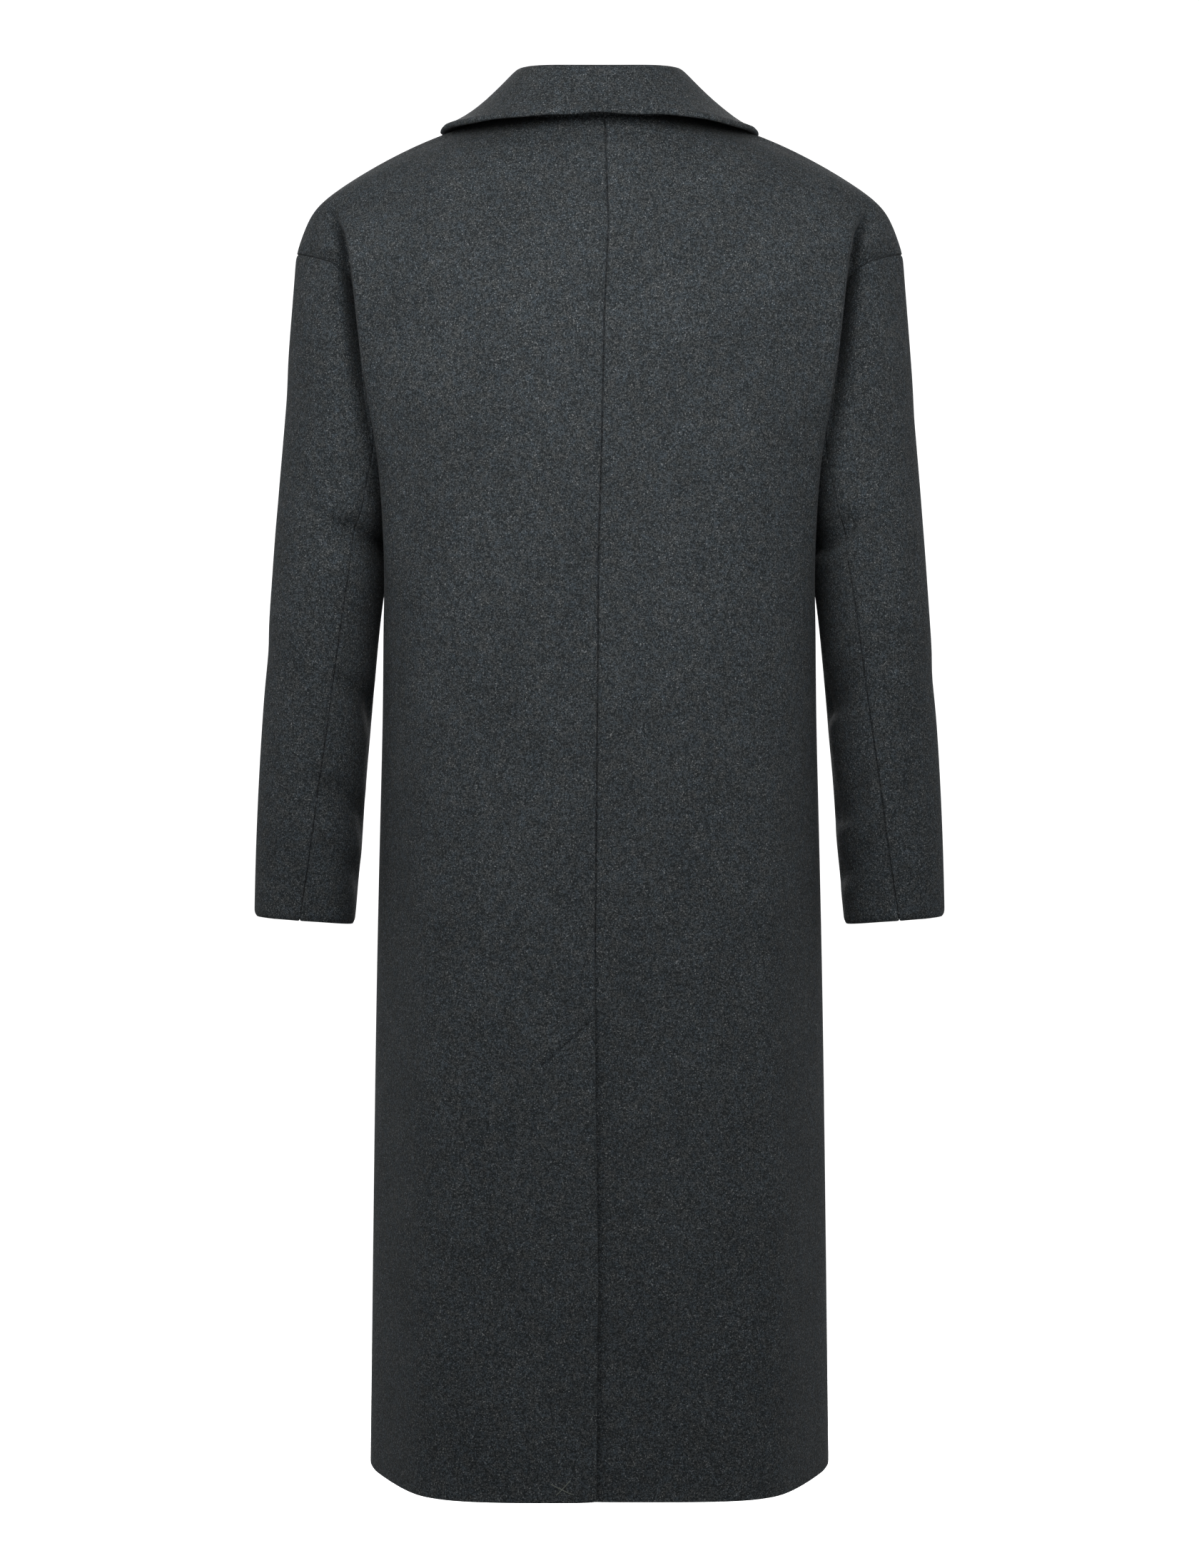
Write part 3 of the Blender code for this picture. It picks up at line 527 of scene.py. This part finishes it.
def middle_of(node):
    """Middle line of the body or of the sleeve that a piece belongs to: x and y as curves of the level."""
    if not node.startswith("sleeve"):
        return np.zeros((2, SLEEVE_CURVE + 1))
    side = node.split("_")[-1]
    halves = [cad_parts[f"sleeve_{half}_{side}"] for half in ("top", "under")]
    points = np.concatenate([read_points(half.data) for half in halves])
    return np.array([np.polyfit(points[:, 2], points[:, axis], SLEEVE_CURVE) for axis in (0, 1)])


def outward_from(middle, points):
    """Level directions from a middle line to points, in millimetres."""
    away = np.array(points, dtype=float)
    away[:, 0] -= np.polyval(middle[0], away[:, 2])
    away[:, 1] -= np.polyval(middle[1], away[:, 2])
    away[:, 2] = 0.0
    return away


def find_rim(shape):
    """Outward corners of a piece: the lines where its faces meet its cut edges."""
    shape.normal_update()
    return {edge for edge in shape.edges if edge.is_convex and edge.calc_face_angle() > RIM_ANGLE}


def is_wall(face, rim):
    """True for a face of the cloth's cut edge: two of its rim edges lie opposite each other."""
    edges = [edge for edge in face.edges if edge in rim]
    return any(not set(one.verts) & set(other.verts) for one, other in combinations(edges, 2))


def rim_points(rim):
    """Points close together along cut edges."""
    points = []
    for edge in rim:
        start, end = (vertex.co for vertex in edge.verts)
        points += [start.lerp(end, step / RIM_STEPS) for step in range(RIM_STEPS + 1)]
    return points


def search_tree(points):
    """Search tree of points."""
    tree = KDTree(len(points))
    for number, point in enumerate(points):
        tree.insert(point, number)
    tree.balance()
    return tree


def sort_edges(cages):
    """For each piece, search trees of its sewn edges and of its free edges."""
    points = {node: rim_points(rim) for node, (shape, rim) in cages.items()}
    edges = {}
    for node, own in points.items():
        others = search_tree([point for other in points if other != node for point in points[other]])
        sewn = [others.find(point)[2] < SEWN_REACH * MM for point in own]
        edges[node] = (search_tree([point for point, is_sewn in zip(own, sewn) if is_sewn]),
                       search_tree([point for point, is_sewn in zip(own, sewn) if not is_sewn]))
    return edges


def lap_seams(shape, rim, seam, free_edge, middle, cut):
    """Let the cloth reach past its sewn edges, so that the pieces meet at the bottom of a narrow groove.

    With a tuck the whole thickness goes on and in. Otherwise the inner face goes on, and the rest of the
    thickness stops short of the seam, but not where the seam runs out at a hem.
    """
    walls = {face for face in shape.faces if is_wall(face, rim)}
    posts = [edge for edge in shape.edges if all(face in walls for face in edge.link_faces)]
    corners = [vertex for vertex in shape.verts if any(face in walls for face in vertex.link_faces)]
    corners = [vertex for vertex in corners if seam.find(vertex.co)[2] < MERGE]
    outward = outward_from(middle, [vertex.co / MM for vertex in corners])
    places = search_tree([vertex.co.copy() for vertex in corners])
    corner_moves = []
    groove_moves = []
    for vertex, away in zip(corners, outward):
        past = sum((face.normal for face in vertex.link_faces if face in walls), Vector()).normalized()
        sheet = sum((face.normal for face in vertex.link_faces if face not in walls), Vector())
        open_share = float(smooth_step(free_edge.find(vertex.co)[2] / (SEAM_END * MM)))
        short = past * (SEAM_CLOSE - (SEAM_CLOSE + SEAM_GROOVE) * open_share)
        onward = past * cut.lap - Vector(away).normalized() * cut.tuck
        groove_moves.append(short)
        corner_moves.append(onward if cut.tuck or sheet.dot(away) < 0.0 else short)
    if not cut.tuck:
        bmesh.ops.subdivide_edges(shape, edges=posts, cuts=GROOVE_CUTS, use_grid_fill=True)
    for vertex in shape.verts:
        number, distance = places.find(vertex.co)[1:]
        if distance < MERGE:
            vertex.co += corner_moves[number] * MM
        elif distance < SEWN_REACH * MM:
            vertex.co += groove_moves[number] * MM


def make_cage(node):
    """The node's wall as the grid that it was made from, with its cut edges."""
    shape = bmesh.new()
    shape.from_mesh(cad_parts[node].data)
    bmesh.ops.remove_doubles(shape, verts=shape.verts[:], dist=MERGE)
    bmesh.ops.join_triangles(shape, faces=shape.faces[:], angle_face_threshold=math.pi,
                             angle_shape_threshold=math.pi, topology_influence=GRID_INFLUENCE)
    return shape, find_rim(shape)


def cloth_mesh(shape, rim, seam, free_edge, middle, cut):
    """Smooth surface from a cage, with softly rounded cut edges."""
    if cut.lap:
        lap_seams(shape, rim, seam, free_edge, middle, cut)
    bmesh.ops.bevel(shape, geom=list(find_rim(shape)), offset=cut.edge * MM, offset_type="OFFSET",
                    segments=1, profile=0.5, affect="EDGES", material=-1)
    cage = as_object("cage", shape)
    rounding = cage.modifiers.new("rounding", "SUBSURF")
    rounding.levels = cut.level
    rounding.render_levels = cut.level
    return finished_mesh(cage)


def distances(tree, points):
    """Distance of each point from a search tree's points, in millimetres."""
    return np.array([tree.find(Vector(point) * MM)[2] / MM for point in points])


def read_points(mesh):
    """Points of a mesh in millimetres."""
    points = np.zeros(len(mesh.vertices) * 3, np.float32)
    mesh.vertices.foreach_get("co", points)
    return points.reshape(-1, 3).astype(float) / MM


def write_points(mesh, points):
    """Set the points of a mesh from millimetres."""
    mesh.vertices.foreach_set("co", (points * MM).astype(np.float32).ravel())
    mesh.update()


def sway_seam(points):
    """Shift the cloth near the centre back seam so that the seam wanders."""
    levels, shifts = np.array(SEAM_SWAYS).T
    near = 1.0 - smooth_step(np.abs(points[:, 0]) / SEAM_SWAY_REACH)
    points[:, 0] += np.interp(points[:, 2], levels, shifts) * near


def crease_depth(points, crease):
    """Depth of a crease at each point, from its distance to the crease's path."""
    flat = points[:, [0, 2]]
    depth = np.zeros(len(points))
    for start, end in zip(crease.path, crease.path[1:]):
        line = np.subtract(end, start).astype(float)
        offset = flat - start
        along = np.clip(offset @ line / (line @ line), 0.0, 1.0)
        offset = offset - along[:, None] * line
        is_left = line[0] * offset[:, 1] > line[1] * offset[:, 0]
        width = np.where(is_left, crease.left_width, crease.right_width)
        depth = np.maximum(depth, np.exp(-np.sum(offset ** 2, axis=1) / width ** 2))
    return crease.depth * depth


def bell(distance, body_width, sleeve_width):
    """Share from 0 to 1 to 0 across a fold, with a width of its own on each side."""
    return np.exp(-(distance / np.where(distance < 0.0, body_width, sleeve_width)) ** 2)


def fold_behind_arm(points, backness):
    """Sink the fold behind the arm, and move the back's cloth over it."""
    levels, outs, depths, overs = np.array(ARM_FOLDS).T
    from_fold = np.abs(points[:, 0]) - np.interp(points[:, 2], levels, outs)
    depth = np.interp(points[:, 2], levels, depths) * backness
    over = np.interp(points[:, 2], levels, overs) * backness
    lap = bell(from_fold + LAP_INSIDE, LAP_BODY_WIDTH, LAP_SLEEVE_WIDTH)
    points[:, 1] -= depth * (bell(from_fold, FOLD_BODY_WIDTH, FOLD_SLEEVE_WIDTH) - FOLD_RIDGE * lap)
    points[:, 0] += np.sign(points[:, 0]) * over * lap


def press_creases(node, points, seam, middle):
    """Press the creases of the back and front, and the dips of its seams, into a piece.

    Both faces of its wall move alike: the cloth of a sleeve towards the middle of the sleeve, other
    cloth straight in.
    """
    kind = node.split("_")[0].replace("lapel", "front")
    away = outward_from(middle, points)
    backness = smooth_step(away[:, 1] / SLEEVE_TURN + 0.5)
    inward = np.zeros_like(points)
    inward[:, 1] = -np.sign(away[:, 1])
    if kind == "sleeve":
        inward = -away / np.linalg.norm(away, axis=1)[:, None]
    depth = SEAM_DIP * np.exp(-distances(seam, points) / SEAM_HALF_WIDTH)
    for creases, share in ((BACK_CREASES, backness), (FRONT_CREASES, 1.0 - backness)):
        for crease in creases:
            if kind == crease.kind:
                depth += crease_depth(points, crease) * share
    points += inward * depth[:, None]
    if kind in ("back", "sleeve"):
        fold_behind_arm(points, backness)


def lift_edge(points, edge):
    """Let a free edge stand a little off the cloth under it."""
    near = 1.0 - smooth_step((points[:, 0] - edge.x) / EDGE_REACH)
    below = smooth_step((edge.top - points[:, 2]) / EDGE_START)
    points[:, 1] += edge.out * near * below
    points[:, 2] += edge.up * near * below


def settle_cuff(points, free_edge, middle):
    """Spread a sleeve towards its cuff, straighten the cuff's line from behind, and turn its edge in."""
    edge_distance = distances(free_edge, points)
    away = outward_from(middle, points)
    inward = -away / np.linalg.norm(away, axis=1)[:, None]
    side = np.sign(points[:, 0])
    across = away[:, 0] * side / CUFF_HALF_WIDTH
    low = smooth_step((CUFF_SPREAD_TOP - points[:, 2]) / CUFF_SPREAD_LENGTH)
    near = 1.0 - smooth_step(edge_distance / CUFF_REACH)
    turn = np.clip(1.0 - edge_distance / CUFF_ROLL_RADIUS, 0.0, 1.0)
    roll = CUFF_ROLL_RADIUS * CUFF_ROLL_SHARE * (1.0 - np.sqrt(1.0 - turn ** 2))
    points += inward * roll[:, None]
    points[:, 0] -= side * CUFF_SPREAD * low * smooth_step(0.5 - across / 2.0)
    points[:, 2] += (CUFF_RISE - CUFF_SIDE_DROP * across ** 2) * near


def lift_lapel(points, free_edge):
    """Let the outer edge of a lapel stand a little off the front."""
    points[:, 1] -= LAPEL_LIFT * np.exp(-(distances(free_edge, points) / LAPEL_LIFT_REACH) ** 2)


def roll_lip(mesh, points, free_edge):
    """Thicken the free edge of the collar to a rolled lip that runs a little unevenly."""
    normals = np.zeros(len(points) * 3, np.float32)
    mesh.vertices.foreach_get("normal", normals)
    edge_distance = distances(free_edge, points)
    swell = LIP_SWELL * np.exp(-((edge_distance - LIP_MIDDLE) / LIP_HALF_WIDTH) ** 2)
    stand = LIP_STAND * np.exp(-(edge_distance / LIP_STAND_REACH) ** 2)
    low = smooth_step((LIP_TOP - points[:, 2]) / LIP_DEPTH)
    points += normals.reshape(-1, 3) * (swell * low)[:, None]
    points[:, 1] += stand * low * smooth_step(points[:, 1] / LIP_TURN)
    for wave in LIP_WAVES:
        points[:, 2] += wave.height * low * np.sin(points[:, 0] / wave.length * 2.0 * math.pi + wave.start)


def sew_vent_line(mesh):
    """Sink the slanted line of sewing that holds the vent's underlap into the left back's face."""
    shape = bmesh.new()
    shape.from_mesh(mesh)
    start = Vector((VENT_SEWING_START[0], 0.0, VENT_SEWING_START[1])) * MM
    end = Vector((VENT_SEWING_END[0], 0.0, VENT_SEWING_END[1])) * MM
    line = end - start
    aside = Vector((-line.z, 0.0, line.x)).normalized()

    def place(point):
        """Share along the line, and distance aside from it, of a point seen from the back."""
        offset = Vector((point.x, 0.0, point.z)) - start
        return offset.dot(line) / line.length_squared, offset.dot(aside)

    def near(face):
        """True for an outer face of the cloth beside the line."""
        share, distance = place(face.calc_center_median())
        is_along = -VENT_SEWING_OVERRUN < share < 1.0 + VENT_SEWING_OVERRUN
        return face.normal.y > OUTER_FACE and is_along and abs(distance) < VENT_SEWING_REACH * MM

    for side in (-1.0, 0.0, 1.0):
        faces = [face for face in shape.faces if near(face)]
        edges = {edge for face in faces for edge in face.edges}
        verts = {vertex for face in faces for vertex in face.verts}
        bmesh.ops.bisect_plane(shape, geom=[*verts, *edges, *faces], dist=MERGE,
                               plane_co=start + aside * side * VENT_SEWING_HALF_WIDTH * MM, plane_no=aside)
    for vertex in {vertex for face in shape.faces if near(face) for vertex in face.verts}:
        share, distance = place(vertex.co)
        across = 1.0 - min(1.0, abs(distance) / (VENT_SEWING_HALF_WIDTH * MM))
        from_end = min(share, 1.0 - share)
        along = float(smooth_step(from_end * VENT_SEWING_END_SLOPE + VENT_SEWING_END_DEPTH))
        vertex.co.y -= VENT_SEWING_DEPTH * MM * across * along
    shape.to_mesh(mesh)
    shape.free()


def make_cloth(node, cage, edges, wool):
    """One cut piece of wool in place of its solid."""
    seam, free_edge = edges
    cut = CUTS[node]
    middle = middle_of(node)
    mesh = cloth_mesh(*cage, seam, free_edge, middle, cut)
    points = read_points(mesh)
    if node == "collar":
        roll_lip(mesh, points, free_edge)
    else:
        press_creases(node, points, seam, middle)
    if node.startswith("sleeve"):
        settle_cuff(points, free_edge, middle)
    if node.startswith("lapel"):
        lift_lapel(points, free_edge)
    if node in FREE_EDGES:
        lift_edge(points, FREE_EDGES[node])
    if node.startswith("back"):
        sway_seam(points)
    write_points(mesh, points)
    if node == "back_left":
        sew_vent_line(mesh)
    piece = add_piece(f"{node}_wool", mesh, wool)
    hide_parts(node)
    return piece


def surface_of(piece):
    """Search tree of a piece's surface."""
    shape = bmesh.new()
    shape.from_mesh(piece.data)
    tree = BVHTree.FromBMesh(shape)
    shape.free()
    return tree


def on_face(tree, x, level, facing):
    """Point of a surface at (x, level), met from a metre behind (facing 1) or before the coat (facing -1)."""
    start = Vector((x * MM, facing, level * MM))
    return tree.ray_cast(start, Vector((0.0, -facing, 0.0)))[0]


def thread_mesh(paths, radius, closed=False):
    """Round threads along paths of points, as one mesh."""
    curve = bpy.data.curves.new("thread", "CURVE")
    curve.dimensions = "3D"
    curve.bevel_depth = radius * MM
    curve.bevel_resolution = THREAD_ROUNDNESS
    curve.use_fill_caps = True
    for path in paths:
        spline = curve.splines.new("POLY")
        spline.points.add(len(path) - 1)
        spline.use_cyclic_u = closed
        for point, place in zip(spline.points, path):
            point.co = (*place, 1.0)
    maker = bpy.data.objects.new("thread", curve)
    bpy.context.scene.collection.objects.link(maker)
    mesh = finished_mesh(maker)
    shape = bmesh.new()
    shape.from_mesh(mesh)
    bmesh.ops.remove_doubles(shape, verts=shape.verts[:], dist=MERGE)
    bmesh.ops.recalc_face_normals(shape, faces=shape.faces[:])
    shape.to_mesh(mesh)
    shape.free()
    return mesh


def make_tack(back, thread):
    """Crossed tacking threads that lie on the left back near its hem."""
    surface = surface_of(back)
    paths = []
    for tack in TACK_THREADS:
        path = []
        for share in np.linspace(0.0, 1.0, TACK_POINTS):
            x, level = np.add(tack.start, np.subtract(tack.end, tack.start) * share)
            lift = TACK_RADIUS - TACK_SINK if 0.0 < share < 1.0 else -TACK_RADIUS
            path.append(on_face(surface, x, level, 1.0) + Vector((0.0, lift * MM, 0.0)))
        paths.append(path)
    piece = add_piece("hem_tack", thread_mesh(paths, TACK_RADIUS), thread)
    return piece


def button_place(node):
    """Middle of the back, outward axis, radius and height of a button's solid."""
    points = read_points(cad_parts[node].data) * MM
    points = np.unique(points.round(POINT_DIGITS), axis=0)
    middle = (points.min(axis=0) + points.max(axis=0)) / 2.0
    spread = np.linalg.svd(points - points.mean(axis=0), full_matrices=False)[2]
    axis = spread[2] * -np.sign(spread[2][1])
    heights = (points - middle) @ axis
    around = np.linalg.norm(points - middle - heights[:, None] * axis, axis=1)
    base = middle + axis * heights.min()
    return Vector(base), Vector(axis), float(around.max()), float(heights.max() - heights.min())


def button_blank(radius, height):
    """Turned button blank: rounded rim, dished face, flat back."""
    shape = bmesh.new()
    corners = [shape.verts.new((turning.radius * radius, 0.0, turning.height * height))
               for turning in BUTTON_PROFILE]
    edges = [shape.edges.new(pair) for pair in zip(corners, corners[1:])]
    bmesh.ops.spin(shape, geom=corners + edges, cent=(0.0, 0.0, 0.0), axis=(0.0, 0.0, 1.0),
                   angle=2.0 * math.pi, steps=BUTTON_STEPS, use_merge=True)
    bmesh.ops.remove_doubles(shape, verts=shape.verts[:], dist=MERGE)
    bmesh.ops.recalc_face_normals(shape, faces=shape.faces[:])
    return as_object("blank", shape)


def hole_cutter(height):
    """Four round holes through a button."""
    shape = bmesh.new()
    reach = BUTTON_HOLE_SPREAD * MM
    for x in (-reach, reach):
        for y in (-reach, reach):
            bmesh.ops.create_cone(shape, cap_ends=True, segments=BUTTON_HOLE_SIDES,
                                  radius1=BUTTON_HOLE_RADIUS * MM, radius2=BUTTON_HOLE_RADIUS * MM,
                                  depth=height * HOLE_CUT_LENGTH,
                                  matrix=Matrix.Translation((x, y, height / 2.0)))
    return as_object("cutter", shape)


def thread_bars(seat, height):
    """Paths of the two bars of thread that go through a button's holes."""
    reach = BUTTON_HOLE_SPREAD * MM
    low = height * BAR_END
    high = height * BAR_TOP + BUTTON_THREAD_RADIUS * MM * BAR_STAND
    right_half = [(reach * BAR_FLAT, high), (reach, high * BAR_BEND), (reach, low)]
    left_half = [(-x, z) for x, z in reversed(right_half)]
    return [[seat @ Vector((x, y, z)) for x, z in left_half + right_half] for y in (-reach, reach)]


def make_button(node, horn, thread):
    """Horn button with four holes, and the two bars of thread that hold it."""
    base, axis, radius, height = button_place(node)
    turn = Vector((0.0, 0.0, 1.0)).rotation_difference(axis).to_matrix().to_4x4()
    seat = Matrix.Translation(base) @ turn
    blank = button_blank(radius, height)
    cutter = hole_cutter(height)
    cut = blank.modifiers.new("holes", "BOOLEAN")
    cut.object = cutter
    cut.operation = "DIFFERENCE"
    mesh = finished_mesh(blank)
    bpy.data.objects.remove(cutter, do_unlink=True)
    mesh.transform(seat)
    button = add_piece(f"{node}_horn", mesh, horn)
    button.data.set_sharp_from_angle(angle=BUTTON_SHARP_ANGLE)
    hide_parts(node)
    bars = add_piece(f"{node}_thread", thread_mesh(thread_bars(seat, height), BUTTON_THREAD_RADIUS), thread)


def make_buttonhole(node, surface, thread):
    """Worked buttonhole in the left front behind a button: a ring of stitching on the cloth's face."""
    base = button_place(node)[0] / MM
    middle = base.x - BUTTONHOLE_SHIFT
    radius = BUTTONHOLE_WIDTH / 2.0
    half = BUTTONHOLE_LENGTH / 2.0 - radius
    path = []
    for turn in np.linspace(0.0, 2.0 * math.pi, BUTTONHOLE_POINTS, endpoint=False):
        x = middle + math.copysign(half, math.cos(turn)) + math.cos(turn) * radius
        level = base.z + math.sin(turn) * radius
        path.append(on_face(surface, x, level, -1.0))
    ring = add_piece(f"{node}_hole", thread_mesh([path], BUTTON_THREAD_RADIUS, closed=True), thread)
    return ring


def plain_white(name, glow):
    """Plain white studio surface that glows enough to read as white."""
    material = bpy.data.materials.new(name)
    material.use_nodes = True
    shader = material.node_tree.nodes["Principled BSDF"]
    shader.inputs["Base Color"].default_value = linear(STAGE_WHITE)
    shader.inputs["Roughness"].default_value = 1.0
    shader.inputs["Specular IOR Level"].default_value = 0.0
    shader.inputs["Emission Color"].default_value = linear(STAGE_WHITE)
    shader.inputs["Emission Strength"].default_value = glow
    return material


def make_stage():
    """Pale floor below the hem and a white surround. Neither throws light on the coat."""
    floor = bmesh.new()
    bmesh.ops.create_circle(floor, cap_ends=True, segments=FLOOR_SIDES, radius=FLOOR_RADIUS)
    bmesh.ops.translate(floor, verts=floor.verts[:], vec=(0.0, 0.0, FLOOR_LEVEL))
    surround = bmesh.new()
    bmesh.ops.create_uvsphere(surround, u_segments=SURROUND_SIDES, v_segments=SURROUND_RINGS,
                              radius=SURROUND_RADIUS)
    for name, shape, glow in (("floor", floor, FLOOR_GLOW), ("surround", surround, SURROUND_GLOW)):
        made = as_object(name, shape)
        made.data.materials.append(plain_white(f"white_{name}", glow))
        made.visible_diffuse = False
        made.visible_glossy = False
        made.visible_transmission = False
        made.visible_shadow = False


def add_light(light):
    """Soft box of light that faces its target."""
    data = bpy.data.lights.new(light.name, "AREA")
    data.energy = light.power
    data.shape = "RECTANGLE"
    data.size = light.width
    data.size_y = light.height
    lamp = bpy.data.objects.new(light.name, data)
    bpy.context.scene.collection.objects.link(lamp)
    lamp.visible_camera = False
    lamp.location = light.place
    facing = Vector(light.target) - Vector(light.place)
    lamp.rotation_euler = facing.to_track_quat("-Z", "Y").to_euler()


def make_light():
    """Soft studio light: a strip close to the upper back, boxes all round, and an even glow."""
    for light in LIGHTS:
        add_light(light)
    world = bpy.data.worlds.new("studio")
    world.use_nodes = True
    ambient = world.node_tree.nodes["Background"]
    ambient.inputs["Color"].default_value = linear(STAGE_WHITE)
    ambient.inputs["Strength"].default_value = AMBIENT_LIGHT
    bpy.context.scene.world = world


def make_camera():
    """Camera behind the coat, as in the photograph."""
    data = bpy.data.cameras.new("camera")
    data.sensor_fit = "VERTICAL"
    data.sensor_height = SENSOR_HEIGHT
    data.lens = SENSOR_HEIGHT * CAMERA_DISTANCE / (PHOTO_HEIGHT * PIXEL)
    data.clip_end = CAMERA_REACH
    camera = bpy.data.objects.new("camera", data)
    bpy.context.scene.collection.objects.link(camera)
    camera.location = (0.0, CAMERA_DISTANCE, CAMERA_LEVEL)
    camera.rotation_euler = CAMERA_TURN
    bpy.context.scene.camera = camera


def main():
    """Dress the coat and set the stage."""
    bpy.context.scene.view_settings.view_transform = "Standard"
    make_camera()
    wool = fulled_wool()
    horn = polished_horn()
    dark_thread = twisted_thread("dark_polyester_thread", THREAD_DARK)
    pale_thread = twisted_thread("grey_tacking_thread", TACK_COLOUR)
    cages = {node: make_cage(node) for node in CUTS}
    edges = sort_edges(cages)
    pieces = {node: make_cloth(node, cages[node], edges[node], wool) for node in CUTS}
    tack = make_tack(pieces["back_left"], pale_thread)
    front = surface_of(pieces["front_left"])
    holes = [make_buttonhole(node, front, dark_thread) for node in BUTTON_NODES]
    for node in BUTTON_NODES:
        make_button(node, horn, dark_thread)
    make_stage()
    make_light()


main()
